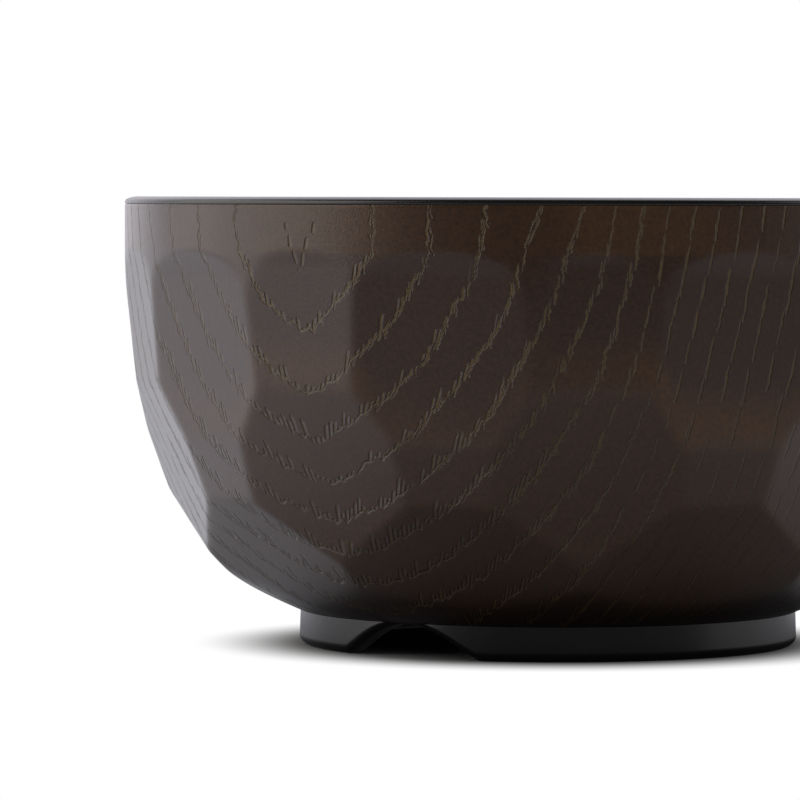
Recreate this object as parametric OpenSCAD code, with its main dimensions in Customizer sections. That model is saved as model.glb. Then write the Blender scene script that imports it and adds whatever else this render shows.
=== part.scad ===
// Draining soup bowl: a smooth black liner, a brown faceted shell and a black foot
// with drain notches. Millimetres, +Z up, origin on the table under the bowl's axis.

/* [Bowl] */
// Outside diameter of the rim
rim_d = 115; // [105:0.5:125]
// Height from the table to the rim
bowl_h = 60.5; // [57:0.5:66]
// Width of the rim, from its inside edge to its outside edge
rim_w = 3.5; // [3.2:0.1:4.5]
// Height of the black lip above the shell
lip_h = 1.1; // [0.9:0.1:2]
// Rounding of the lip's two edges
lip_round = 1; // [0.4:0.1:1]
// Wall of the inner liner
liner_wall = 1.6; // [1.2:0.1:1.9]
// Least wall of the shell behind its lower facets
shell_wall = 1.3; // [1:0.1:1.8]
// Thickness of the shell's base over the foot's plate
base_wall = 1.4; // [1:0.1:2]
// Glue gap between one piece and the next
bond_gap = 0.05; // [0.02:0.01:0.1]

/* [Facets] */
// Pairs of facet columns round the bowl, each a narrow and a broad column
column_pairs = 9; // [8:1:10]
// Depth below the rim at which the facets start
arch_depth = 7.1; // [5:0.1:9]
// Radius of the run-out at the top of each column
run_out_r = 10; // [6:0.5:16]
// Inset of a narrow column's upper facet where it starts
narrow_top_inset = 0.2; // [0.1:0.02:0.5]
// Depth at which a narrow column's upper facet ends
narrow_break_depth = 24.8; // [22:0.1:28]
// Inset of a narrow column at that depth
narrow_break_inset = 1.9; // [1.5:0.1:2.5]
// Inset of a narrow column's lower facet at the depth of the low break
narrow_low_inset = 7.4; // [6.8:0.1:8]
// Inset of a broad column's upper facet where it starts
broad_top_inset = 0.6; // [0.4:0.05:1]
// Depth at which a broad column's upper facet ends
broad_break_depth = 31.5; // [29:0.1:34]
// Inset of a broad column at that depth
broad_break_inset = 3.45; // [3:0.05:4]
// Depth at which a broad column's middle facet ends
low_break_depth = 39.6; // [37:0.1:42]
// Inset of a broad column at that depth
broad_low_inset = 6.25; // [5.6:0.05:6.8]
// Height above the table at which the lower facets run into the smooth underside
heel_h = 9.4; // [8:0.1:11]
// How far outside the foot a broad column lies at that height
heel_out = 7.4; // [5:0.1:9]
// Radius of the smooth underside, a part of a ball
underside_r = 87; // [70:1:110]

/* [Foot] */
// Outside diameter of the foot
foot_d = 67.5; // [62:0.5:72]
// Height of the foot
foot_h = 4.7; // [4.2:0.1:6]
// Width of the foot's ring
foot_w = 4.2; // [3.4:0.1:5]
// How much the foot narrows to its top
foot_draft = 0.15; // [0:0.05:0.4]
// Rounding of the foot's lower edges
foot_round = 1.3; // [0.6:0.1:1.5]
// Thickness of the plate inside the ring
plate_t = 1; // [0.8:0.1:1.6]
// How deep the plate seats in the shell's base
plate_seat = 0.8; // [0.4:0.1:1]
// Drain notches round the foot
notch_count = 2; // [1:1:4]
// Width of a notch on the table
notch_w = 21; // [14:0.2:28]
// How soon a notch's sides lean in from its toes, as the power in its outline
notch_lean = 1.3; // [1.1:0.1:2]
// Height of the foot left over a notch's crown
notch_roof = 0.25; // [0.2:0.05:1.5]
// Turn of the notches from the middle of a narrow column, in degrees
notch_turn = 0; // [-20:0.2:20]

/* [Hidden] */
$fn = 128;

rim_r = rim_d / 2;
foot_r = foot_d / 2;
foot_in_r = foot_r - foot_w;
seat_r = foot_r - foot_w / 2;
plate_top = foot_h + plate_seat;
lip_z = bowl_h - lip_h;
pitch = 180 / column_pairs;
// Overrun of a cutter past the solid it cuts
past = 2;
// An edge is never rounded by more than its own wall allows.
lip_edge_r = min(lip_round, 0.9 * lip_h, 0.45 * rim_w);
foot_edge_r = min(foot_round, 0.45 * foot_w);
// Straight steps in each round stretch of an outline
edge_steps = 6;
corner_steps = 18;
notch_steps = 24;
run_out_steps = 10;
run_out_sweep = 60;

// A point of an outline is [radius, height].
function unit(v) = v / norm(v);
function outward(p, q) = let (d = unit(q - p)) [-d[1], d[0]];
function to_table(p, q) = q + (q - p) * q[1] / (p[1] - q[1]);
function rim_point(inset, depth) = [rim_r - inset, bowl_h - depth];
function arc_points(centre, r, from, to, steps) =
    [for (i = [0:steps]) let (a = from + (to - from) * i / steps) centre + r * [cos(a), sin(a)]];

// The middle line of each kind of facet column, from its arch down
narrow_line = [
    rim_point(narrow_top_inset, arch_depth),
    rim_point(narrow_break_inset, narrow_break_depth),
    rim_point(narrow_low_inset, low_break_depth)
];
broad_line = [
    rim_point(broad_top_inset, arch_depth),
    rim_point(broad_break_inset, broad_break_depth),
    rim_point(broad_low_inset, low_break_depth),
    [foot_r + heel_out, heel_h]
];

// The well is the smooth inside: a flat floor, a round corner and a straight wall.
// Its corner keeps the same wall behind the lower facets of both kinds of column.
floor_z = plate_top + base_wall + 2 * bond_gap + liner_wall;
wall_all = liner_wall + bond_gap + shell_wall;
narrow_n = outward(narrow_line[1], narrow_line[2]);
broad_n = outward(broad_line[2], broad_line[3]);
narrow_k = narrow_n * narrow_line[2] - wall_all - narrow_n[1] * floor_z;
broad_k = broad_n * broad_line[2] - wall_all - broad_n[1] * floor_z;
both = narrow_n[0] * (broad_n[1] + 1) - broad_n[0] * (narrow_n[1] + 1);
corner_r = (narrow_n[0] * broad_k - broad_n[0] * narrow_k) / both;
corner_x = (narrow_k * (broad_n[1] + 1) - broad_k * (narrow_n[1] + 1)) / both;
corner_c = [corner_x, floor_z + corner_r];

// The wall runs from the rim's inside edge to the corner, which it touches at wall_a.
rim_in = [rim_r - rim_w, bowl_h] - corner_c;
wall_a = atan2(rim_in[1], rim_in[0]) - acos(corner_r / norm(rim_in));
wall_n = [cos(wall_a), sin(wall_a)];
function wall_at(z, off) = (wall_n * corner_c + corner_r + off - wall_n[1] * z) / wall_n[0];

module inner_liner() {
    edge_z = bowl_h - lip_edge_r;
    color([0.06, 0.06, 0.065])
    rotate_extrude()
    polygon(concat(
        [[0, floor_z], [0, floor_z - liner_wall]],
        arc_points(corner_c, corner_r + liner_wall, -90, wall_a, corner_steps),
        [[wall_at(lip_z, liner_wall), lip_z], [rim_r, lip_z]],
        arc_points([rim_r - lip_edge_r, edge_z], lip_edge_r, 0, 90, edge_steps),
        arc_points([wall_at(edge_z, lip_edge_r), edge_z], lip_edge_r, 90, 180 + wall_a, edge_steps),
        arc_points(corner_c, corner_r, wall_a, -90, corner_steps)
    ));
}

// The space inside the shell, which the liner fills but for the glue gap
module shell_well() {
    off = liner_wall + bond_gap;
    top = bowl_h + past;
    rotate_extrude()
    polygon(concat(
        [[0, top], [0, floor_z - off]],
        arc_points(corner_c, corner_r + off, -90, wall_a, corner_steps),
        [[wall_at(top, off), top]]
    ));
}

// The space that one column's facets take off the shell: a run-out arc, then flats down to the table
module column_cut(line) {
    last = len(line) - 1;
    d = unit(line[1] - line[0]);
    n = outward(line[0], line[1]);
    start = [rim_r, bowl_h - arch_depth] - line[0];
    bite = start * n;
    touch = line[0] + d * (start * d + sqrt(2 * run_out_r * bite - bite * bite));
    facing = atan2(-n[1], -n[0]);
    rotate([90, 0, 0])
    linear_extrude(2 * rim_r * tan(pitch), center = true)
    polygon(concat(
        arc_points(touch + n * run_out_r, run_out_r, facing - run_out_sweep, facing, run_out_steps),
        [for (i = [1:last]) line[i]],
        [to_table(line[last - 1], line[last]), [rim_r + run_out_r, 0]]
    ));
}

module outer_shell() {
    ball_z = foot_h + sqrt(pow(underside_r, 2) - pow(foot_r, 2));
    color([0.2, 0.13, 0.085])
    difference() {
        rotate_extrude()
        intersection() {
            translate([0, foot_h]) square([rim_r, lip_z - bond_gap - foot_h]);
            translate([0, ball_z]) circle(underside_r);
        }
        shell_well();
        translate([0, 0, foot_h - past]) cylinder(r = seat_r + bond_gap, h = plate_seat + bond_gap + past);
        for (i = [0:column_pairs - 1]) {
            rotate([0, 0, -90 + 2 * pitch * i]) column_cut(narrow_line);
            rotate([0, 0, -90 + 2 * pitch * i + pitch]) column_cut(broad_line);
        }
    }
}

// The space of one drain notch, a bell that is level at its crown and at its two toes
module notch_cut() {
    crown_h = foot_h - notch_roof;
    inner_y = sqrt(pow(foot_in_r, 2) - pow(notch_w / 2, 2)) - past;
    translate([0, -inner_y, 0])
    rotate([90, 0, 0])
    linear_extrude(foot_r + past - inner_y)
    polygon(concat(
        [[notch_w / 2, -past], [-notch_w / 2, -past]],
        [for (i = [0:notch_steps]) let (u = 2 * i / notch_steps - 1)
            [u * notch_w / 2, crown_h * pow(1 - u * u, notch_lean)]]
    ));
}

module foot_ring() {
    color([0.05, 0.05, 0.055])
    difference() {
        rotate_extrude()
        polygon(concat(
            [[0, plate_top], [seat_r, plate_top], [seat_r, foot_h - bond_gap]],
            [[foot_r - foot_draft, foot_h - bond_gap]],
            arc_points([foot_r - foot_edge_r, foot_edge_r], foot_edge_r, 0, -90, edge_steps),
            arc_points([foot_in_r + foot_edge_r, foot_edge_r], foot_edge_r, -90, -180, edge_steps),
            [[foot_in_r, plate_top - plate_t], [0, plate_top - plate_t]]
        ));
        for (i = [0:notch_count - 1])
            rotate([0, 0, notch_turn + i * 360 / notch_count]) notch_cut();
    }
}

inner_liner();
outer_shell();
foot_ring();
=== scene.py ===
"""Looks for the draining bowl: a smooth black liner, a brown faceted shell and a black notched foot.

Lengths are millimetres until a mesh is made, and angles are degrees.
"""
import copy
import math

import bpy
import numpy as np
from mathutils import Matrix, Vector


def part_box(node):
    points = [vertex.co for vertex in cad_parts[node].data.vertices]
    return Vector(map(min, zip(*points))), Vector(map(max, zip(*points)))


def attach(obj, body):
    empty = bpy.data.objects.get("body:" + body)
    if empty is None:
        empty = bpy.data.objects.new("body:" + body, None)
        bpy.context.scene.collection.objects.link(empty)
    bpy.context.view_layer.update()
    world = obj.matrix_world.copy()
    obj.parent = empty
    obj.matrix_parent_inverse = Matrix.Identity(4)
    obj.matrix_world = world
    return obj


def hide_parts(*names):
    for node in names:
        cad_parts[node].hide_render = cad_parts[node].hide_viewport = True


MM = 0.001

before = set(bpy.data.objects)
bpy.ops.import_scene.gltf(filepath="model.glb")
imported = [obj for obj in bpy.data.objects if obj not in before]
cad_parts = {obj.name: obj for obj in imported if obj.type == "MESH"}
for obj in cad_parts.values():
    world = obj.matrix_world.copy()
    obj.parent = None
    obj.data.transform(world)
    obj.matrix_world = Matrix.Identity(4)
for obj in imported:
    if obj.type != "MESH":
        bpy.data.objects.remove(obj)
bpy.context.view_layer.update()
liner_low, liner_high = (Vector(c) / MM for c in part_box("inner_liner"))
shell_low, shell_high = (Vector(c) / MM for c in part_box("outer_shell"))
_, foot_high = (Vector(c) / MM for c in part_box("foot_ring"))

# Main sizes, from the frame
RIM_R = shell_high.x
BOWL_H = liner_high.z
SHELL_FOOT = shell_low.z
FOOT_R = foot_high.x
PLATE_TOP = foot_high.z
LINER_LOW = liner_low.z
BOND_GAP = 0.05

# Liner: wall, lip and the round corner between floor and wall, where the CAD has it
LINER_WALL = 1.6
RIM_W = 3.5
LIP_CROWN_R = 3.6
LIP_EDGE_R = 0.5
LIP_FILLET = 0.25
LIP_FILLET_TURN = 55
LIP_BEAD = 0.77
LIP_H = LIP_BEAD + LIP_FILLET * math.sin(math.radians(LIP_FILLET_TURN))
CORNER_R = 24.16
CORNER_X = 25.58

# Rings and steps of the liner's mesh, with a ring on each side of the crease under the lip
FLOOR_SHARES = (0.25, 0.5, 0.75)
LINER_RINGS = (36, 42, 48, 54, 58)
LINER_TURNS = 300
CORNER_STEPS = 40
CORNER_OUTSIDE_STEPS = 24
LIP_EDGE_STEPS = 8
LIP_CROWN_STEPS = 14
LIP_CREASE_OUT = 0.2
LIP_CREASE_DOWN = 1

# Foot ring with its drain notches, its plate, and the plate's seat in the shell
FOOT_W = 4.2
FOOT_DRAFT = 0.15
FOOT_ROUND = 1.3
FOOT_RING_TOP = SHELL_FOOT - BOND_GAP
PLATE_T = 1
PLATE_LOW = PLATE_TOP - PLATE_T
PLATE_R = FOOT_R - FOOT_W / 2
BASE_Z = PLATE_TOP + BOND_GAP
SEAT_R = PLATE_R + BOND_GAP
NOTCH_HALF = 10.5
NOTCH_ROOF = 0.25
NOTCH_CROWN = SHELL_FOOT - NOTCH_ROOF
NOTCH_LEAN = 1.3

# Rings and steps of the foot's mesh, with a ring beside the crease under the plate
FOOT_TURNS = 720
FOOT_WALL_RINGS = 25
FOOT_WALL_CROWD = 1.5
FOOT_EDGE_STEPS = 10
FOOT_INSIDE_RINGS = (2.4, 3.6)
FOOT_CREASE = 0.3

# Facet columns: pairs of a narrow and a broad one, each with points of inset from the rim's outside and
# depth below its top
COLUMN_PAIRS = 9
COLUMN_PITCH = 180 / COLUMN_PAIRS
COLUMN_REACH = 0.5
FIRST_COLUMN = -90
ARCH_DEPTH = 7.1
RUN_OUT_R = 10
RUN_OUT_ABOVE = 4
NARROW_BREAK = 24.8
BROAD_BREAK = 31.5
LOW_BREAK = 39.6
HEEL_OUT = 7.4
HEEL_H = 9.4
HEEL = (RIM_R - FOOT_R - HEEL_OUT, BOWL_H - HEEL_H)
NARROW_LINE = [(0.2, ARCH_DEPTH), (1.9, NARROW_BREAK), (7.4, LOW_BREAK)]
BROAD_LINE = [(0.6, ARCH_DEPTH), (3.45, BROAD_BREAK), (6.25, LOW_BREAK), HEEL]
UNDERSIDE_R = 87
EDGE_SOFT = 0.09
UNDER_SOFT = 0.4
SHELL_CHAMFER = 0.12
SHELL_TOP_GAP = 0.02

# Rings and steps of the shell's mesh: close together at the arches and at the underside
SHELL_TURNS = 600
SHELL_CORNER_STEPS = 12
SHELL_INSIDE_RING = 45
CHAMFER_SHARES = (0.0, 0.3, 0.6, 0.85, 1.0)
UNDER_CHAMFER = 0.3
OVER_ARCHES = 2
ARCHES_END = 15
UNDERSIDE_ZONE = 6
ZONE_RINGS = (8, 28, 64, 17)

# Wood grain: nested lines round one upright axis, counted outward and down from its top.
# Angles count in tens of degrees and depths in tens of millimetres.
TENS = 0.1
BAND_DEPTH = 7
FIGURE_TURN = -89.4
FIGURE_START = -1.03
FIGURE_SPREAD = 0.8
FIGURE_SPREAD_GROWTH = 0.165
FIGURE_DROP = 0.73
FIGURE_DROP_GROWTH = 0.205
FIGURE_LEAN = 0.039
FIGURE_LEAN_GROWTH = 0.022
FIGURE_NEAR = 6
FIGURE_TIP = 0.12
FIGURE_CROWD = 4
FIGURE_CROWD_GROWTH = 0.5
FIGURE_BAND_LEAN = 0.06
FIGURE_BAND_SIDE = (2.2, 3.2)
FIGURE_WAVE = 0.25
FIGURE_WAVE_SIZE = 7.0
FIGURE_JAG = 0.11
FIGURE_JAG_SIZE = 0.9
FIGURE_LEAST_RATE = 0.05

# The small V in the figure's middle: depths of its top and tip, and millimetres down per degree aside
HEART_LINE = -1.0
HEART_TOP = 3.2
HEART_TOP_FADE = 1.5
HEART_TIP = 9.1
HEART_TIP_FADE = 0.6
HEART_SLOPE = 2.46
HEART_HALF = 0.13

# One pore: the shares of its length that its point and its blunt end take, its least half width,
# the share of its half width that its edge takes, and how many times as wide its groove is
PORE_POINT = 0.25
PORE_BLUNT = 0.12
PORE_LEAST_FORM = 0.02
PORE_LEAST_HALF = 0.01
PORE_EDGE = 0.5
GROOVE_WIDTH = 2.0

# Pores that stand like a comb on a jagged line, and that line, which is broken here and there
TICK_PITCH = 0.8
TICK_SLANT = 20
TICK_LEAN_MOST = 0.16
TICK_JAG = 0.8
TICK_LEAST = 0.5
TICK_GROWTH = 2.2
TICK_FOOT = 0.9
TICK_HALF = 0.16
TICK_HALF_MORE = 0.08
TICK_SHARE = 0.92
TICK_STEEP = (0.97, 0.8)
TICK_DOWN = (0.01, 0.04)
TICK_LINE = 0.13
TICK_LINE_GROOVE = 0.28
TICK_LINE_EDGE = 0.4
TICK_BREAK = (-0.12, 0.0)
TICK_BREAK_SIZE = 4.0

# Pores that run along a line. From LONG_LINE on they grow, and on the far lines they lie closer together.
STROKE_LENGTH = 2.1
STROKE_GROWTH = 0.5
STROKE_HALF = 0.055
STROKE_HALF_MORE = 0.04
STROKE_HALF_FAR = 0.03
STROKE_SPREAD = 0.6
STROKE_LEAN = 0.12
STROKE_UPRIGHT = 0.25
STROKE_UPRIGHT_MORE = 0.5
STROKE_GAP = 0.2
STROKE_STEEP = (0.4, 0.8)
LONG_LINE = 5.0
FAR_LINES = (5.5, 8.5)
FAR_CLOSER = 0.65

# Layers of such pores: a seed, and the shares of them that are kept on the near and on the far lines.
# With more layers the shader would be too long, and the shell would render black.
STROKE_LAYERS = ((17.0, 0.92, 0.94), (29.0, 0.88, 0.5), (41.0, 0.85, 0.1), (53.0, 0.8, 0.0))
HEART_LAYER = (83.0, 0.9, 0.9)

# Seeds of the other random draws, and steps that keep the draws of two lines or two sides apart
TICK_SEED = 3.0
TICK_LANE_SEED = 7.0
TICK_CHANCE_SEED = 11.0
STROKE_START_SEED = 2.0
LANES_APART = 40.0
LINES_APART = 9.0
SIDES_APART = 30.0
STARTS_APART = 30.0

# Where the brown coat turns amber: on the facets over their breaks, in patches of the band under
# the lip, and a little on the lower facets
AMBER_FACETS = 6
AMBER_PATCHES = 8
AMBER_TURN = -42.8
AMBER_WAVE = 0.3
AMBER_CLOUD_SIZE = 13.0
AMBER_BROAD = (0.55, 0.85)
AMBER_BREAK = (-2.5, 1.0)
AMBER_FADE = (9.0, 2.5)
AMBER_STRENGTH = 0.6
AMBER_STRENGTH_MORE = 1.2
AMBER_STRENGTH_LEAST = 0.15
AMBER_STRENGTH_MOST = 1.1
AMBER_PATCH = (-0.15, 0.3)
AMBER_PATCH_CLOUD = 0.6
AMBER_BAND = 0.2
AMBER_BAND_MORE = 0.5
AMBER_BAND_EDGE = (BAND_DEPTH + 0.9, BAND_DEPTH - 0.3)
AMBER_LOW = 0.27
AMBER_LOW_EDGE = (0.4, -0.4)
# Over these depths the lower facets' amber fades out toward the foot, a painted shade that leaves the
# bottom darker
AMBER_LOW_DEPTHS = (55.0, 46.0)

# Brown coat: its tones, the share of each, the depths between which they change, its painted shade toward
# the foot and in the grooves, its gloss and its relief
COAT_TONES = ((0.038, 0.0195, 0.0125, 1), (0.049, 0.0235, 0.0138, 1))
AMBER_TONE = (0.135, 0.064, 0.0175, 1)
DARK_MOTTLE = (0.02, 0.011, 0.008, 1)
LIGHT_MOTTLE = (0.15, 0.06, 0.02, 1)
# Dark tone of the painted shade toward the foot and in the grooves
PAINTED_SHADE_TONE = (0.016, 0.009, 0.007, 1)
GOLD_TONE = (0.18, 0.106, 0.028, 1)
TONE_SPREAD = (-0.25, 0.25)
COAT_PATCH_SIZE = 14.0
MOTTLE_SIZE = 0.55
MOTTLE_SPREAD = (-0.6, 0.6)
DARK_SHARE = 0.7
LIGHT_SHARE = 0.4
# Painted shade toward the foot: how much, and between which depths
UNDER_SHADE_SHARE = 0.6
UNDER_SHADE_DEPTHS = (46.0, 56.0)
# Painted shade in the grooves round the pores: how much
GROOVE_SHADE_SHARE = 0.85
GOLD_SHARE = 0.5
GOLD_SHARE_MORE = 0.3
GOLD_DEPTHS = (40.0, 15.0)
BROWN_ROUGHNESS = 0.31
BROWN_ROUGHNESS_MORE = 0.16
BROWN_GLOSS_SIZE = 0.5
GROOVE_ROUGHNESS = 0.12
SKIN_SIZE = 0.4
SKIN_DEPTH = 0.025
CARVE_DEPTH = 0.09

# Black coats
BLACK_TONES = ((0.0062, 0.0060, 0.0064, 1), (0.0088, 0.0083, 0.0085, 1))
BLACK_PATCH_SIZE = 9.0
BLACK_ROUGHNESS_MORE = 0.12
BLACK_GLOSS_SIZE = 0.7
BLACK_SKIN_SIZE = 0.3
BLACK_SKIN_DEPTH = 0.0015

# Camera, from the photo: image side, focal length and the pixel of the rim's centre
IMAGE_SIDE = 800
FOCAL_PX = 5530
RIM_CENTRE_PX = (549.2, 197.35)
VIEW_ROLL = 0.15
VIEW_TURN = 34.2
VIEW_DISTANCE = 751
VIEW_END = 100000
SENSOR = 36

# Floor: how bright it glows in the bowl's gloss, a painted reflection, to which side it is white or half
# dim, and how far from the axis it is brighter as a painted pool of light, dark as a painted shadow of the
# bowl, open again, or white to the camera
FLOOR_HALF_SIDE = 6000
FLOOR_TONE = (0.32, 0.32, 0.32, 1)
WHITE_TURN = -140
WHITE_SPREAD = (-0.65, 0.8)
HALF_TURN = 100
HALF_SPREAD = (0.3, 1.15)
HALF_FLOOR = 0.26
DIM_FLOOR = 0.1
NEAR_FLOOR = 0.22
NEAR_ZONE = (380.0, 130.0)
SHADE_ZONE = (38.5, 55.5)
SHADE_SHIFT = 9.0
SHADE_LEAST = 0.03
SHADE_RISE = 0.39
OPEN_ZONE = (50.0, 100.0)
OPEN_RISE = 0.58
CAMERA_ZONE = (32.0, 49.0)

# Whites of the studio, its dim sides, and how far round behind the bowl it is white
WHITE = (1, 1, 1, 1)
# The floor's glow in the bowl's gloss, a painted reflection, is cool white
COOL_WHITE = (0.8, 0.805, 0.87, 1)
BACK_WHITE = (0.96, 0.93, 1.0, 1)
BACK_SPREAD = (0.3, 0.8)
WARM_LAMP = (1.0, 0.95, 0.9)
PLAIN_LAMP = (1.0, 1.0, 1.0)
ROOM = (0.1, 0.1, 0.1, 1)
GLOSS_ROOM = (0.04, 0.04, 0.038, 1)


def mesh_object(name, points, faces):
    """A smooth-shaded mesh from points in millimetres."""
    mesh = bpy.data.meshes.new(name)
    mesh.from_pydata((np.asarray(points) * MM).tolist(), [], faces)
    mesh.shade_smooth()
    piece = bpy.data.objects.new(name, mesh)
    bpy.context.collection.objects.link(piece)
    return piece


def loft(name, rings, start, end):
    """A closed skin through rings of points, ended by one point on the axis at each side."""
    count, turns = len(rings), len(rings[0])
    points = np.concatenate([np.reshape(rings, (-1, 3)), [start, end]])
    step = [(j, (j + 1) % turns) for j in range(turns)]
    faces = []
    for i in range(count - 1):
        low, high = i * turns, (i + 1) * turns
        faces += [(low + a, low + b, high + b, high + a) for a, b in step]
    first, last = count * turns, count * turns + 1
    top = (count - 1) * turns
    faces += [(first, b, a) for a, b in step]
    faces += [(last, top + a, top + b) for a, b in step]
    return mesh_object(name, points, faces)


def circle(turns):
    """Angles round the axis, in degrees."""
    return np.arange(turns) * 360 / turns


def ring_at(radius, height, angles):
    """One ring of points; radius and height are numbers or one value per angle."""
    turn = np.radians(angles)
    radius = np.broadcast_to(radius, turn.shape)
    height = np.broadcast_to(height, turn.shape)
    return np.stack([radius * np.cos(turn), radius * np.sin(turn), height], -1)


def arc(centre, radius, start, end, steps):
    """Points of an arc in the plane of radius and height."""
    turn = np.radians(np.linspace(start, end, steps + 1))
    return [(centre[0] + radius * c, centre[1] + radius * s) for c, s in zip(np.cos(turn), np.sin(turn))]


class Well:
    """The round corner and straight wall inside the bowl, and its offsets outward."""

    def __init__(self):
        self.floor = LINER_LOW + LINER_WALL
        self.centre = (CORNER_X, self.floor + CORNER_R)
        over = RIM_R - RIM_W - self.centre[0]
        up = BOWL_H - self.centre[1]
        self.wall_turn = math.degrees(math.atan2(up, over) - math.acos(CORNER_R / math.hypot(over, up)))

    def wall_at(self, height, offset):
        """Radius of the wall's offset at a height."""
        turn = math.radians(self.wall_turn)
        along = self.centre[0] * math.cos(turn) + self.centre[1] * math.sin(turn) + CORNER_R + offset
        return (along - height * math.sin(turn)) / math.cos(turn)

    def under_crown(self, crown, reach, offset):
        """Point of the wall's offset, near the rim, that lies at a reach from the crown's centre."""
        turn = math.radians(self.wall_turn)
        over = (crown[0] - self.wall_at(crown[1], offset)) * math.cos(turn)
        rise = math.sqrt(reach ** 2 - over ** 2)
        return (crown[0] - over * math.cos(turn) - rise * math.sin(turn),
                crown[1] - over * math.sin(turn) + rise * math.cos(turn))

    def corner(self, offset, steps):
        """Points from the floor's edge up to the foot of the wall."""
        return arc(self.centre, CORNER_R + offset, -90, self.wall_turn, steps)


WELL = Well()


def lip_outline():
    """Points over the lip, from the inside wall over a gentle crown to the outside face."""
    crown = (RIM_R - RIM_W / 2, BOWL_H - LIP_CROWN_R)
    reach = LIP_CROWN_R - LIP_EDGE_R
    outer_turn = math.degrees(math.acos((RIM_W / 2 - LIP_EDGE_R) / reach))
    outer = arc(crown, reach, outer_turn, outer_turn, 0)[0]
    inner = WELL.under_crown(crown, reach, LIP_EDGE_R)
    inner_turn = math.degrees(math.atan2(inner[1] - crown[1], inner[0] - crown[0]))
    points = arc(inner, LIP_EDGE_R, 180 + WELL.wall_turn, inner_turn, LIP_EDGE_STEPS)
    points += arc(crown, LIP_CROWN_R, inner_turn, outer_turn, LIP_CROWN_STEPS)[1:]
    points += arc(outer, LIP_EDGE_R, outer_turn, 0, LIP_EDGE_STEPS)[1:]
    return points


def make_liner():
    """The black inside with its crowned lip, whose lower edge turns in."""
    lip_low = BOWL_H - LIP_H
    under_lip = lip_low - LIP_CREASE_DOWN
    fillet = (RIM_R - LIP_FILLET, BOWL_H - LIP_BEAD)
    outline = [(CORNER_X * share, WELL.floor) for share in FLOOR_SHARES]
    outline += WELL.corner(0, CORNER_STEPS)
    outline += [(WELL.wall_at(z, 0), z) for z in LINER_RINGS]
    outline += lip_outline()
    outline += arc(fillet, LIP_FILLET, 0, -LIP_FILLET_TURN, LIP_EDGE_STEPS)
    outline += [(WELL.wall_at(lip_low, LINER_WALL) + LIP_CREASE_OUT, lip_low)]
    outline += [(WELL.wall_at(z, LINER_WALL), z) for z in (lip_low, under_lip)]
    outline += WELL.corner(LINER_WALL, CORNER_OUTSIDE_STEPS)[::-1]
    angles = circle(LINER_TURNS)
    rings = [ring_at(r, z, angles) for r, z in outline]
    return loft("liner", rings, (0, 0, WELL.floor), (0, 0, LINER_LOW))


def column_flats(line, depth):
    """Distance of each of a column's flats from the axis, by depth below the rim."""
    points = [np.array([RIM_R - inset, d]) for inset, d in line]
    flats = [p[0] + (q[0] - p[0]) * (depth - p[1]) / (q[1] - p[1]) for p, q in zip(points, points[1:])]
    along = (points[1] - points[0]) / np.linalg.norm(points[1] - points[0])
    out = np.array([along[1], -along[0]])
    start = np.array([RIM_R, ARCH_DEPTH]) - points[0]
    bite = start @ out
    touch = points[0] + along * (start @ along + math.sqrt(2 * RUN_OUT_R * bite - bite * bite))
    centre = touch + out * RUN_OUT_R
    sweep = np.sqrt(np.maximum(RUN_OUT_R ** 2 - (depth - centre[1]) ** 2, 0))
    flats[0] = np.where(depth < touch[1], centre[0] - sweep, flats[0])
    return flats


def soft_least(limits, soft):
    """The least of some lengths, eased where two of them are about the same."""
    limits = np.stack(limits)
    least = limits.min(0)
    return least - soft * np.log(np.exp((least - limits) / soft).sum(0))


def shell_radius(angles, depth):
    """Outside radius of the shell: soft edges between its facets, and a softer run into the underside."""
    ball_z = SHELL_FOOT + math.sqrt(UNDERSIDE_R ** 2 - FOOT_R ** 2)
    under = np.sqrt(np.maximum(UNDERSIDE_R ** 2 - (ball_z - BOWL_H + depth) ** 2, 0))
    shape = np.broadcast(angles, depth).shape
    limits = [np.full(shape, RIM_R)]
    for column in range(2 * COLUMN_PAIRS):
        line = BROAD_LINE if column % 2 else NARROW_LINE
        facing = np.cos(np.radians(angles - FIRST_COLUMN - COLUMN_PITCH * column))
        # A column cuts only on its own side of the bowl, and from a little over its arch down.
        cut_here = (facing > COLUMN_REACH) & (depth > ARCH_DEPTH - RUN_OUT_ABOVE)
        for flat in column_flats(line, depth):
            limits.append(np.where(cut_here, flat / np.maximum(facing, COLUMN_REACH), 2 * RIM_R))
    facets = soft_least(limits, EDGE_SOFT)
    return soft_least([facets, np.broadcast_to(under, shape)], UNDER_SOFT)


def shell_depths(top):
    """Depths of the rings on the shell's outside, from a depth near its top down to its base."""
    low = BOWL_H - SHELL_FOOT
    marks = [top, ARCH_DEPTH - OVER_ARCHES, ARCHES_END, low - UNDERSIDE_ZONE, low]
    zones = [np.linspace(a, b, n, endpoint=False) for a, b, n in zip(marks, marks[1:], ZONE_RINGS)]
    return np.concatenate(zones + [[low]])


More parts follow.
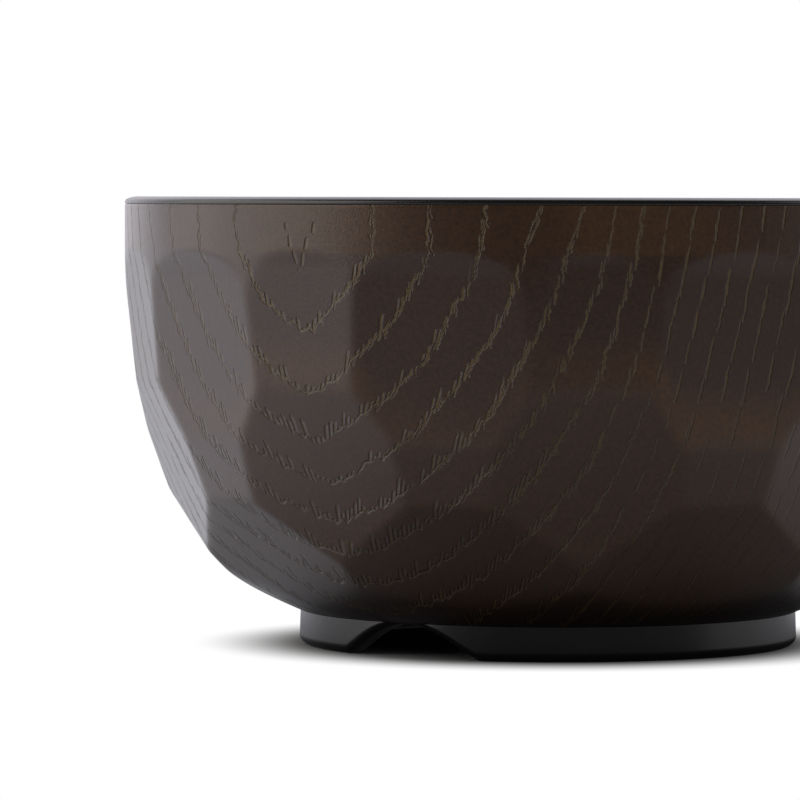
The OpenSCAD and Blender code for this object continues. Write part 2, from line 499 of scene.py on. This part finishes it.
def make_shell():
    """The brown shell: a faceted outside, and an inside that the liner fills."""
    offset = LINER_WALL + BOND_GAP
    shell_top = BOWL_H - LIP_H - SHELL_TOP_GAP
    angles = circle(SHELL_TURNS)
    inside = [(CORNER_X / 2, WELL.floor - offset)] + WELL.corner(offset, SHELL_CORNER_STEPS)
    inside += [(WELL.wall_at(z, offset), z) for z in (SHELL_INSIDE_RING, shell_top)]
    rings = [ring_at(r, z, angles) for r, z in inside]
    for share in CHAMFER_SHARES:
        drop = SHELL_CHAMFER * (1 - math.sqrt(1 - share * share))
        rings.append(ring_at(RIM_R - SHELL_CHAMFER * (1 - share), shell_top - drop, angles))
    depths = shell_depths(BOWL_H - shell_top + SHELL_CHAMFER + UNDER_CHAMFER)
    radius = shell_radius(angles[None, :], depths[:, None])
    rings += [ring_at(r, BOWL_H - d, angles) for r, d in zip(radius, depths)]
    base = [(SEAT_R, SHELL_FOOT), (SEAT_R, BASE_Z), (SEAT_R / 2, BASE_Z)]
    rings += [ring_at(r, z, angles) for r, z in base]
    return loft("shell", rings, (0, 0, WELL.floor - offset), (0, 0, BASE_Z))


def notch_height(radius, angles):
    """Height of the drain notches' bell over the table, at a radius."""
    across = radius * np.cos(np.radians(angles)) / NOTCH_HALF
    return NOTCH_CROWN * np.maximum(1 - across ** 2, 0) ** NOTCH_LEAN


def foot_wall(share, angles):
    """One ring of the foot's outer wall, at a share of its height over the notches' outline.

    Near that outline and near the table the wall rounds in.
    """
    bell = notch_height(FOOT_R, angles)
    slope = np.gradient(bell, FOOT_R * math.radians(360 / FOOT_TURNS))
    clear = share * (FOOT_RING_TOP - bell) / np.sqrt(1 + slope ** 2)
    short = 1 - np.minimum(clear / FOOT_ROUND, 1)
    inset = FOOT_ROUND * (1 - np.sqrt(1 - short ** 2))
    radius = FOOT_R - np.maximum(inset, FOOT_DRAFT * share)
    bell = notch_height(radius, angles)
    return ring_at(radius, bell + share * (FOOT_RING_TOP - bell), angles)


def make_foot():
    """The black foot ring with its plate, cut by two drain notches."""
    angles = circle(FOOT_TURNS)
    inner = FOOT_R - FOOT_W
    plate = [(PLATE_R / 2, PLATE_TOP), (PLATE_R, PLATE_TOP), (PLATE_R, FOOT_RING_TOP)]
    rings = [ring_at(r, z, angles) for r, z in plate]
    shares = (1 - np.cos(np.linspace(math.pi, 0, FOOT_WALL_RINGS))) / 2
    rings += [foot_wall(share ** FOOT_WALL_CROWD, angles) for share in shares]
    lower = arc((inner + FOOT_ROUND, FOOT_ROUND), FOOT_ROUND, -90, -180, FOOT_EDGE_STEPS)
    lower += [(inner, z) for z in FOOT_INSIDE_RINGS]
    for r, z in lower:
        bell = notch_height(r, angles)
        rings.append(ring_at(r, bell + z * (FOOT_RING_TOP - bell) / FOOT_RING_TOP, angles))
    rings += [ring_at(r, PLATE_LOW, angles) for r in (inner, inner - FOOT_CREASE, inner / 2)]
    return loft("foot", rings, (0, 0, PLATE_TOP), (0, 0, PLATE_LOW))


class Graph:
    """Short calls for building the nodes of one material, or of the world."""

    def __init__(self, tree):
        self.tree = tree
        self.tree.nodes.clear()

    def node(self, kind, inputs=(), **settings):
        """Adds a node; inputs maps a socket's name or number to a value or another socket."""
        made = self.tree.nodes.new(kind)
        for key, value in settings.items():
            setattr(made, key, value)
        for key, value in dict(inputs).items():
            self.feed(made.inputs[key], value)
        return made

    def feed(self, socket, value):
        """Links a socket, or sets its value."""
        if isinstance(value, bpy.types.NodeSocket):
            self.tree.links.new(value, socket)
        else:
            socket.default_value = value

    def math(self, operation, *values):
        """One Math node."""
        return self.node("ShaderNodeMath", enumerate(values), operation=operation).outputs[0]

    def measure(self, operation, *vectors):
        """One Vector Math node that gives a number."""
        made = self.node("ShaderNodeVectorMath", enumerate(vectors), operation=operation)
        return made.outputs["Value"]

    def join(self, *parts):
        """A vector from up to three numbers."""
        return self.node("ShaderNodeCombineXYZ", enumerate(parts)).outputs[0]

    def split(self, vector):
        """The three numbers of a vector or colour."""
        return self.node("ShaderNodeSeparateXYZ", {0: vector}).outputs[:3]

    def place(self):
        """The point on the object, in millimetres."""
        coords = self.node("ShaderNodeTexCoord").outputs["Object"]
        scaled = self.node("ShaderNodeVectorMath", {0: coords, "Scale": 1 / MM}, operation="SCALE")
        return scaled.outputs[0]

    def noise(self, vector, size, detail=2.0, rough=0.5):
        """Soft noise about zero, with lumps of about the given size."""
        inputs = {"Vector": vector, "Scale": 1 / size, "Detail": detail, "Roughness": rough}
        return self.math("SUBTRACT", self.node("ShaderNodeTexNoise", inputs).outputs[0], 0.5)

    def dice(self, *parts):
        """Three even random numbers that belong to whole numbers."""
        made = self.node("ShaderNodeTexWhiteNoise", {"Vector": self.join(*parts)}, noise_dimensions="3D")
        return self.split(made.outputs["Color"])

    def ramp(self, value, low, high):
        """A smooth step from 0 at low to 1 at high."""
        inputs = {"Value": value, "From Min": low, "From Max": high}
        return self.node("ShaderNodeMapRange", inputs, interpolation_type="SMOOTHSTEP").outputs[0]

    def blend(self, share, first, second):
        """A mix of two colours; a Mix node has them at its inputs 6 and 7 and its output 2."""
        made = self.node("ShaderNodeMix", data_type="RGBA")
        self.feed(made.inputs[0], share)
        self.feed(made.inputs[6], first)
        self.feed(made.inputs[7], second)
        return made.outputs[2]

    def bump(self, height, depth, normal=None):
        """A bump of so many millimetres where the height is 1."""
        made = self.node("ShaderNodeBump", {"Height": height, "Distance": depth * MM, "Strength": 1.0})
        if normal:
            self.feed(made.inputs["Normal"], normal)
        return made.outputs[0]

    def rays(self):
        """1 where the camera looks straight at something, and 1 where something shows in a gloss."""
        path = self.node("ShaderNodeLightPath").outputs
        direct = self.math("MAXIMUM", path["Is Camera Ray"], path["Is Transmission Ray"])
        return direct, path["Is Glossy Ray"]

    def output(self, shader):
        """Ends a material's graph."""
        self.node("ShaderNodeOutputMaterial", {"Surface": shader})


def new_material(name):
    """An empty node material and its graph."""
    material = bpy.data.materials.new(name)
    material.use_nodes = True
    return material, Graph(material.node_tree)


class Figure:
    """The wood figure at a point: its nearest grain line, how far off that lies, and how the lines run."""

    def __init__(self, g, place):
        inputs = {"Vector": place, "Axis": (0, 0, 1), "Angle": math.radians(-FIGURE_TURN)}
        turned = g.node("ShaderNodeVectorRotate", inputs, rotation_type="AXIS_ANGLE")
        along, side, _ = g.split(turned.outputs[0])
        self.depth = g.math("SUBTRACT", BOWL_H, g.split(place)[2])
        self.angle = g.math("DEGREES", g.math("ARCTAN2", side, along))
        self.half = STROKE_HALF
        spread = g.math("MULTIPLY", self.angle, TENS)
        out = g.math("SQRT", g.math("MULTIPLY_ADD", spread, spread, FIGURE_TIP ** 2))
        near = g.math("MINIMUM", out, FIGURE_NEAR)
        fall = g.math("MAXIMUM", g.math("SUBTRACT", self.depth, BAND_DEPTH), 0.0)
        fall = g.math("MULTIPLY", fall, TENS)
        drop = g.math("MULTIPLY_ADD", near, -FIGURE_LEAN, FIGURE_DROP)
        growth = g.math("MULTIPLY_ADD", near, -FIGURE_LEAN_GROWTH, FIGURE_DROP_GROWTH)

        past = g.math("MULTIPLY", g.math("SUBTRACT", out, near), 2 * FIGURE_NEAR)
        wide = g.math("MULTIPLY", g.math("MULTIPLY_ADD", near, near, past), FIGURE_SPREAD_GROWTH)
        count = g.math("ADD", g.math("MULTIPLY_ADD", out, FIGURE_SPREAD, FIGURE_START), wide)
        count = g.math("MULTIPLY_ADD", fall, g.math("MULTIPLY_ADD", fall, growth, drop), count)
        crowd = g.math("MAXIMUM", g.math("SUBTRACT", out, FIGURE_CROWD), 0.0)
        count = g.math("MULTIPLY_ADD", crowd, FIGURE_CROWD_GROWTH, count)
        rise = g.math("MAXIMUM", g.math("SUBTRACT", BAND_DEPTH, self.depth), 0.0)
        rise = g.math("MULTIPLY", rise, g.ramp(out, *FIGURE_BAND_SIDE))
        count = g.math("MULTIPLY_ADD", rise, -FIGURE_BAND_LEAN, count)
        count = g.math("MULTIPLY_ADD", g.noise(place, FIGURE_WAVE_SIZE), FIGURE_WAVE, count)
        count = g.math("MULTIPLY_ADD", g.noise(place, FIGURE_JAG_SIZE, detail=1.0), FIGURE_JAG, count)
        self.line = g.math("MAXIMUM", g.math("ROUND", count), 0.0)
        self.off = g.math("SUBTRACT", count, self.line)

        # Lines passed per millimetre, down the wall and round it
        down = g.math("MULTIPLY_ADD", g.math("MULTIPLY", fall, 2.0), growth, drop)
        under_band = g.ramp(self.depth, BAND_DEPTH - 1, BAND_DEPTH + 1)
        self.down = g.math("MULTIPLY", g.math("MULTIPLY", down, TENS), under_band)
        lean = g.math("MULTIPLY", fall, g.math("MULTIPLY_ADD", fall, -FIGURE_LEAN_GROWTH, -FIGURE_LEAN))
        aside = g.math("MULTIPLY_ADD", near, 2 * FIGURE_SPREAD_GROWTH, FIGURE_SPREAD)
        aside = g.math("ADD", aside, lean)
        aside = g.math("MULTIPLY_ADD", g.math("GREATER_THAN", crowd, 0.0), FIGURE_CROWD_GROWTH, aside)
        self.round = g.math("MULTIPLY", g.math("MULTIPLY", aside, TENS), g.math("DIVIDE", spread, out))
        self.rate = g.measure("LENGTH", g.join(self.down, self.round))
        self.rate = g.math("MAXIMUM", self.rate, FIGURE_LEAST_RATE)
        self.steep = g.math("DIVIDE", g.math("ABSOLUTE", self.round), self.rate)

    def heart(self, g):
        """The small V in the figure's middle, near the rim, as one more line."""
        other = copy.copy(self)
        arm = g.math("DIVIDE", g.math("SUBTRACT", HEART_TIP, self.depth), HEART_SLOPE)
        other.line = HEART_LINE
        other.half = HEART_HALF
        other.off = g.math("SUBTRACT", g.math("ABSOLUTE", self.angle), arm)
        other.down = 1 / HEART_SLOPE
        other.rate = 1.0
        from_top = g.ramp(self.depth, HEART_TOP - HEART_TOP_FADE, HEART_TOP + HEART_TOP_FADE)
        to_tip = g.ramp(self.depth, HEART_TIP + HEART_TIP_FADE, HEART_TIP)
        other.steep = g.math("MULTIPLY", from_top, to_tip)
        return other


def dash(g, beside, run, half):
    """A pore, pointed at its upper end, run 0, and blunt at its lower end, run 1; and its wider groove."""
    form = g.math("MULTIPLY", g.ramp(run, 0.0, PORE_POINT), g.ramp(run, 1.0, 1 - PORE_BLUNT))
    thick = g.math("MAXIMUM", g.math("MULTIPLY", half, form), PORE_LEAST_HALF)
    share = g.math("DIVIDE", g.math("ABSOLUTE", beside), thick)
    there = g.math("GREATER_THAN", form, PORE_LEAST_FORM)
    edges = [g.ramp(share, width, PORE_EDGE * width) for width in (1.0, GROOVE_WIDTH)]
    return [g.math("MULTIPLY", there, edge) for edge in edges]


def ticks(g, figure):
    """Short pores that stand like a comb on a jagged line where the figure runs across the grain."""
    slope = g.math("MINIMUM", g.math("MAXIMUM", figure.round, -TICK_LEAN_MOST), TICK_LEAN_MOST)
    lane = g.math("MULTIPLY_ADD", g.math("MULTIPLY", slope, TICK_SLANT), figure.off, figure.angle)
    lane_start = g.math("MULTIPLY", g.dice(figure.line, 0.0, TICK_LANE_SEED)[0], LANES_APART)
    lane = g.math("MULTIPLY_ADD", lane, 1 / TICK_PITCH, lane_start)
    column = g.math("FLOOR", lane)
    beside = g.math("MULTIPLY", g.math("SUBTRACT", g.math("FRACT", lane), 0.5), TICK_PITCH)
    start, length, width = g.dice(figure.line, column, TICK_SEED)
    chance = g.dice(figure.line, column, TICK_CHANCE_SEED)[0]
    fall = g.math("MULTIPLY", g.math("MAXIMUM", figure.down, FIGURE_LEAST_RATE), -1.0)
    above = g.math("DIVIDE", figure.off, fall)
    foot = g.math("MULTIPLY_ADD", g.math("SUBTRACT", start, 0.5), TICK_JAG, above)
    tall = g.math("MULTIPLY_ADD", g.math("MULTIPLY", length, length), TICK_GROWTH, TICK_LEAST)
    run = g.math("SUBTRACT", TICK_FOOT, g.math("DIVIDE", foot, tall))
    pore, groove = dash(g, beside, run, g.math("MULTIPLY_ADD", width, TICK_HALF_MORE, TICK_HALF))
    kept = g.math("LESS_THAN", chance, TICK_SHARE)

    # The jagged line joins the lower ends of the pores.
    between = g.math("SUBTRACT", lane, 0.5)
    first = g.math("FLOOR", between)
    left = g.dice(figure.line, first, TICK_SEED)[0]
    right = g.dice(figure.line, g.math("ADD", first, 1.0), TICK_SEED)[0]
    jag = g.math("MULTIPLY_ADD", g.math("FRACT", between), g.math("SUBTRACT", right, left), left)
    base = g.math("ABSOLUTE", g.math("MULTIPLY_ADD", g.math("SUBTRACT", jag, 0.5), TICK_JAG, above))
    along = g.join(g.math("MULTIPLY", figure.line, LINES_APART), lane, 0.0)
    broken = g.ramp(g.noise(along, TICK_BREAK_SIZE), *TICK_BREAK)
    crossing = g.math("MULTIPLY", g.ramp(figure.steep, *TICK_STEEP), g.ramp(figure.down, *TICK_DOWN))
    cuts = []
    for cut, edge in ((pore, TICK_LINE), (groove, TICK_LINE_GROOVE)):
        line = g.math("MULTIPLY", g.ramp(base, edge, TICK_LINE_EDGE * edge), broken)
        both = g.math("MAXIMUM", g.math("MULTIPLY", cut, kept), line)
        cuts.append(g.math("MULTIPLY", both, crossing))
    return cuts


def strokes(g, figure, seed, near_share, far_share):
    """Pores along a grain line where it runs down the wall, each a little more upright than the line."""
    side = g.math("MULTIPLY_ADD", g.math("SIGN", figure.angle), SIDES_APART, figure.line)
    more = g.math("MAXIMUM", g.math("SUBTRACT", figure.line, LONG_LINE), 0.0)
    size = g.math("MULTIPLY_ADD", more, STROKE_GROWTH, STROKE_LENGTH)
    start = g.math("MULTIPLY", g.dice(side, STROKE_START_SEED, seed)[0], STARTS_APART)
    run = g.math("ADD", g.math("DIVIDE", figure.depth, size), start)
    piece = g.math("FLOOR", run)
    run = g.math("FRACT", run)
    shift, lean, width = g.dice(side, piece, seed + 1)
    chance, gap, _ = g.dice(side, piece, seed + 2)
    beside = g.math("DIVIDE", figure.off, figure.rate)
    far = g.ramp(figure.line, *FAR_LINES)
    loose = g.math("MULTIPLY_ADD", far, -FAR_CLOSER, 1.0)
    spread = g.math("MULTIPLY", loose, STROKE_SPREAD)
    beside = g.math("ADD", beside, g.math("MULTIPLY", g.math("SUBTRACT", shift, 0.5), spread))
    slant = g.math("MULTIPLY", g.math("DIVIDE", figure.down, figure.rate), size)
    upright = g.math("MULTIPLY_ADD", lean, -STROKE_UPRIGHT_MORE, -STROKE_UPRIGHT)
    tilt = g.math("MULTIPLY_ADD", g.math("MULTIPLY", slant, loose), upright, -STROKE_LEAN)
    beside = g.math("MULTIPLY_ADD", g.math("SUBTRACT", run, 0.5), tilt, beside)
    gap = g.math("MULTIPLY", gap, STROKE_GAP)
    run = g.math("DIVIDE", g.math("SUBTRACT", run, gap), g.math("SUBTRACT", 1.0, gap))
    share = g.math("MULTIPLY_ADD", far, far_share - near_share, near_share)
    kept = g.math("MULTIPLY", g.math("LESS_THAN", chance, share), g.ramp(figure.steep, *STROKE_STEEP))
    half = g.math("MULTIPLY_ADD", far, STROKE_HALF_FAR, figure.half)
    half = g.math("MULTIPLY_ADD", width, STROKE_HALF_MORE, half)
    return [g.math("MULTIPLY", kept, cut) for cut in dash(g, beside, run, half)]


def grain(g, figure):
    """How far a point is in a pore, and how far in the groove round it."""
    layers = [(figure, layer) for layer in STROKE_LAYERS]
    layers.append((figure.heart(g), HEART_LAYER))
    pores, grooves = ticks(g, figure)
    for lines, layer in layers:
        pore, groove = strokes(g, lines, *layer)
        pores = g.math("MAXIMUM", pores, pore)
        grooves = g.math("MAXIMUM", grooves, groove)
    return pores, grooves


def wave_round(g, figure, count, turn):
    """A wave with so many crests round the bowl, one of them at a turn."""
    shift = math.radians(FIGURE_TURN - turn) * count
    return g.math("COSINE", g.math("MULTIPLY_ADD", g.math("RADIANS", figure.angle), count, shift))


def amber_share(g, place, figure):
    """How far the coat turns amber, which is most in patches of the band and over the facets' breaks."""
    lane = g.math("DIVIDE", g.math("ADD", figure.angle, FIGURE_TURN - FIRST_COLUMN), COLUMN_PITCH)
    broad = g.math("ABSOLUTE", g.math("SINE", g.math("MULTIPLY", lane, math.pi / 2)))
    broad = g.ramp(broad, *AMBER_BROAD)
    over = g.math("MULTIPLY_ADD", broad, BROAD_BREAK - NARROW_BREAK, NARROW_BREAK)
    over = g.math("SUBTRACT", over, figure.depth)
    cloud = g.noise(place, AMBER_CLOUD_SIZE)
    facet = g.math("MULTIPLY", g.ramp(over, *AMBER_BREAK), g.ramp(over, *AMBER_FADE))
    wave = wave_round(g, figure, AMBER_FACETS, FIRST_COLUMN)
    amber_strength = g.math("MULTIPLY_ADD", cloud, AMBER_STRENGTH_MORE, AMBER_STRENGTH)
    amber_strength = g.math("MAXIMUM", g.math("MULTIPLY_ADD", wave, AMBER_WAVE, amber_strength), AMBER_STRENGTH_LEAST)
    facet = g.math("MULTIPLY", facet, g.math("MINIMUM", amber_strength, AMBER_STRENGTH_MOST))
    wave = g.math("MULTIPLY", wave_round(g, figure, AMBER_PATCHES, AMBER_TURN), AMBER_WAVE)
    patch = g.ramp(g.math("MULTIPLY_ADD", cloud, AMBER_PATCH_CLOUD, wave), *AMBER_PATCH)
    band = g.ramp(figure.depth, *AMBER_BAND_EDGE)
    band = g.math("MULTIPLY", band, g.math("MULTIPLY_ADD", patch, AMBER_BAND_MORE, AMBER_BAND))
    # The amber on the lower facets fades out toward the foot, a painted shade that leaves the bottom darker
    low = g.math("MULTIPLY", g.ramp(figure.depth, *AMBER_LOW_DEPTHS), AMBER_LOW)
    low = g.math("MULTIPLY", g.ramp(over, *AMBER_LOW_EDGE), low)
    return g.math("MAXIMUM", g.math("MAXIMUM", facet, band), low)


def brown_tone(g, place, figure, pores, grooves):
    """Colour of the brown coat: patches, amber, mottle, painted shade toward the foot and in the grooves
    round the pores, and gold pores.
    """
    patches = g.ramp(g.noise(place, COAT_PATCH_SIZE, detail=3.0), *TONE_SPREAD)
    mottle = g.ramp(g.noise(place, MOTTLE_SIZE, rough=0.6), *MOTTLE_SPREAD)
    tone = g.blend(patches, *COAT_TONES)
    tone = g.blend(amber_share(g, place, figure), tone, AMBER_TONE)
    dark = g.blend(DARK_SHARE, tone, DARK_MOTTLE)
    light = g.blend(LIGHT_SHARE, tone, LIGHT_MOTTLE)
    tone = g.blend(mottle, dark, light)
    # Painted shade: the coat darkens toward the foot, under the bowl
    under = g.ramp(figure.depth, *UNDER_SHADE_DEPTHS)
    tone = g.blend(g.math("MULTIPLY", under, UNDER_SHADE_SHARE), tone, PAINTED_SHADE_TONE)
    # Painted shade: the grooves round the pores are darkened
    tone = g.blend(g.math("MULTIPLY", grooves, GROOVE_SHADE_SHARE), tone, PAINTED_SHADE_TONE)
    gold = g.math("MULTIPLY_ADD", g.ramp(figure.depth, *GOLD_DEPTHS), GOLD_SHARE_MORE, GOLD_SHARE)
    return g.blend(g.math("MULTIPLY", pores, gold), tone, GOLD_TONE)


def brown_material():
    """Dark brown satin coat over embossed wood grain."""
    material, g = new_material("brown_grain")
    place = g.place()
    figure = Figure(g, place)
    pores, grooves = grain(g, figure)
    tone = brown_tone(g, place, figure, pores, grooves)
    gloss = g.noise(place, BROWN_GLOSS_SIZE, detail=3.0)
    gloss = g.math("MULTIPLY_ADD", gloss, BROWN_ROUGHNESS_MORE, BROWN_ROUGHNESS)
    gloss = g.math("MULTIPLY_ADD", grooves, GROOVE_ROUGHNESS, gloss)
    skin = g.bump(g.noise(place, SKIN_SIZE, detail=3.0, rough=0.6), SKIN_DEPTH)
    carved = g.bump(g.math("MULTIPLY", g.math("ADD", pores, grooves), -0.5), CARVE_DEPTH, skin)
    shader = g.node("ShaderNodeBsdfPrincipled", {
        "Base Color": tone,
        "Roughness": gloss,
        "Normal": carved,
        "Specular IOR Level": 0.36,
        "Coat Weight": 1.0,
        "Coat Roughness": 0.3,
        "Coat Normal": carved,
    })
    g.output(shader.outputs[0])
    return material


def black_material(name, roughness, specular, coat):
    """Smooth satin black coat with a fine grain."""
    material, g = new_material(name)
    place = g.place()
    patches = g.ramp(g.noise(place, BLACK_PATCH_SIZE, detail=3.0), *TONE_SPREAD)
    gloss = g.noise(place, BLACK_GLOSS_SIZE, detail=3.0)
    shader = g.node("ShaderNodeBsdfPrincipled", {
        "Base Color": g.blend(patches, *BLACK_TONES),
        "Roughness": g.math("MULTIPLY_ADD", gloss, BLACK_ROUGHNESS_MORE, roughness),
        "Normal": g.bump(g.noise(place, BLACK_SKIN_SIZE), BLACK_SKIN_DEPTH),
        "Specular IOR Level": specular,
        "Coat Weight": coat,
        "Coat Roughness": 0.2,
    })
    g.output(shader.outputs[0])
    return material


def dress(piece, node, material):
    """Puts a piece in the place of its CAD node."""
    piece.data.materials.append(material)
    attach(piece, "root")
    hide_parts(node)


def level_direction(turn):
    """A level direction from the bowl, turned right of the camera by so much."""
    angle = math.radians(VIEW_TURN - 90 + turn)
    return (math.cos(angle), math.sin(angle), 0)


def painted_floor_reflection(g, place, away):
    """Painted reflection: how bright the floor glows in the bowl's gloss, white left and behind, half dim
    right, dim in front.
    """
    outward = g.node("ShaderNodeVectorMath", {0: place}, operation="NORMALIZE").outputs[0]
    white = g.ramp(g.measure("DOT_PRODUCT", outward, level_direction(WHITE_TURN)), *WHITE_SPREAD)
    white = g.math("MULTIPLY_ADD", white, 1 - DIM_FLOOR, DIM_FLOOR)
    half = g.ramp(g.measure("DOT_PRODUCT", outward, level_direction(HALF_TURN)), *HALF_SPREAD)
    half = g.math("MULTIPLY_ADD", half, HALF_FLOOR, DIM_FLOOR)
    level = g.math("MAXIMUM", half, white)
    # A painted pool of light on the floor round the bowl, seen only in the gloss
    bright = g.math("MULTIPLY", g.ramp(away, *NEAR_ZONE), NEAR_FLOOR)
    level = g.math("MULTIPLY_ADD", g.math("SUBTRACT", 1.0, level), bright, level)
    # A painted shadow of the bowl: the glow is dark near the foot and opens further off, seen only in the
    # gloss
    reach = g.math("MULTIPLY_ADD", level, SHADE_SHIFT, away)
    shade = g.math("MULTIPLY_ADD", g.ramp(reach, *SHADE_ZONE), SHADE_RISE, SHADE_LEAST)
    shade = g.math("MULTIPLY_ADD", g.ramp(away, *OPEN_ZONE), OPEN_RISE, shade)
    return g.math("MULTIPLY", level, shade)


def make_floor():
    """A plain pale floor that keeps the shadow near the bowl and is white to the camera further off; in the
    bowl's gloss it glows instead, a painted reflection with a painted shadow near the bowl.
    """
    side = FLOOR_HALF_SIDE
    corners = [(-side, -side, 0), (side, -side, 0), (side, side, 0), (-side, side, 0)]
    floor = mesh_object("floor", corners, [(0, 1, 2, 3)])
    material, g = new_material("pale_floor")
    place = g.place()
    away = g.measure("LENGTH", place)
    direct, in_gloss = g.rays()
    seen = g.math("MULTIPLY", direct, g.ramp(away, *CAMERA_ZONE))
    # In the gloss the floor is all glow, a painted reflection
    white = g.math("MAXIMUM", seen, in_gloss)
    strength = g.math("MAXIMUM", direct, painted_floor_reflection(g, place, away))
    colour = g.blend(direct, COOL_WHITE, WHITE)
    pale = g.node("ShaderNodeBsdfDiffuse", {"Color": FLOOR_TONE}).outputs[0]
    glow = g.node("ShaderNodeEmission", {"Color": colour, "Strength": strength}).outputs[0]
    g.output(g.node("ShaderNodeMixShader", {0: white, 1: pale, 2: glow}).outputs[0])
    floor.data.materials.append(material)


def make_world():
    """White for the camera all round; in the bowl's gloss white behind, and dim on the camera's side."""
    world = bpy.data.worlds.new("studio")
    world.use_nodes = True
    bpy.context.scene.world = world
    g = Graph(world.node_tree)
    coords = g.node("ShaderNodeTexCoord").outputs["Generated"]
    behind = g.ramp(g.measure("DOT_PRODUCT", coords, level_direction(180)), *BACK_SPREAD)
    direct, in_gloss = g.rays()
    white = g.math("MAXIMUM", direct, g.math("MULTIPLY", in_gloss, behind))
    fill = g.blend(in_gloss, ROOM, GLOSS_ROOM)
    colour = g.blend(direct, BACK_WHITE, WHITE)
    room = g.node("ShaderNodeBackground", {"Color": fill, "Strength": 1.0}).outputs[0]
    plain = g.node("ShaderNodeBackground", {"Color": colour, "Strength": 1.0}).outputs[0]
    mixed = g.node("ShaderNodeMixShader", {0: white, 1: room, 2: plain}).outputs[0]
    g.node("ShaderNodeOutputWorld", {"Surface": mixed})


def view_point(turn, rise, distance):
    """A point seen from the bowl, in metres: turned right of the camera by so much, and raised."""
    x, y, _ = level_direction(turn)
    flat = distance * math.cos(math.radians(rise))
    up = distance * math.sin(math.radians(rise))
    return Vector((flat * x, flat * y, up)) * MM


def make_softbox(name, turn, rise, distance, size, radiance, colour, gloss=True):
    """A lamp that faces the bowl and doesn't show in the picture, nor in the bowl's gloss if so asked."""
    lamp = bpy.data.lights.new(name, "AREA")
    lamp.shape = "RECTANGLE"
    lamp.size = size[0] * MM
    lamp.size_y = size[1] * MM
    lamp.energy = radiance * math.pi * lamp.size * lamp.size_y
    lamp.color = colour
    holder = bpy.data.objects.new(name, lamp)
    bpy.context.collection.objects.link(holder)
    holder.location = view_point(turn, rise, distance)
    aim = Vector((0, 0, 0.5 * BOWL_H * MM)) - holder.location
    holder.rotation_euler = aim.to_track_quat("-Z", "Y").to_euler()
    holder.visible_camera = False
    holder.visible_glossy = gloss


def make_lights():
    """Soft light from the left, weaker light from the right, and two fills that the gloss doesn't show."""
    make_softbox("left_softbox", turn=-84, rise=26, distance=900, size=(1130, 850), radiance=1.12,
                 colour=WARM_LAMP)
    make_softbox("right_softbox", turn=100, rise=24, distance=900, size=(800, 800), radiance=0.65,
                 colour=PLAIN_LAMP)
    make_softbox("front_fill", turn=30, rise=25, distance=1100, size=(1000, 600), radiance=1.1,
                 colour=PLAIN_LAMP, gloss=False)
    make_softbox("left_fill", turn=-70, rise=45, distance=1100, size=(1000, 600), radiance=1.0,
                 colour=PLAIN_LAMP, gloss=False)


def make_camera():
    """The photo's camera, at the height of the rim."""
    data = bpy.data.cameras.new("camera")
    data.sensor_width = SENSOR
    data.lens = SENSOR * FOCAL_PX / IMAGE_SIDE
    data.clip_end = VIEW_END * MM
    camera = bpy.data.objects.new("camera", data)
    bpy.context.collection.objects.link(camera)
    roll = Matrix.Rotation(math.radians(VIEW_ROLL), 4, "Z")
    middle = IMAGE_SIDE / 2
    over, up, _ = roll.to_3x3() @ Vector((RIM_CENTRE_PX[0] - middle, middle - RIM_CENTRE_PX[1], 0))
    pitch = math.atan(up / FOCAL_PX)
    yaw = math.atan(over / FOCAL_PX * math.cos(pitch))
    stand = view_point(0, 0, VIEW_DISTANCE) + Vector((0, 0, BOWL_H * MM))
    turn = Matrix.Rotation(math.radians(VIEW_TURN) + yaw, 4, "Z")
    tilt = Matrix.Rotation(math.pi / 2 - pitch, 4, "X")
    camera.matrix_world = Matrix.Translation(stand) @ turn @ tilt @ roll
    bpy.context.scene.camera = camera


def make_bowl():
    """The three pieces and their finishes."""
    lining = black_material("black_lining", roughness=0.28, specular=1.0, coat=0.3)
    dress(make_liner(), "inner_liner", lining)
    dress(make_shell(), "outer_shell", brown_material())
    satin = black_material("black_foot", roughness=0.3, specular=0.68, coat=0.0)
    dress(make_foot(), "foot_ring", satin)


bpy.context.scene.view_settings.view_transform = "Standard"
make_bowl()
make_floor()
make_world()
make_lights()
make_camera()
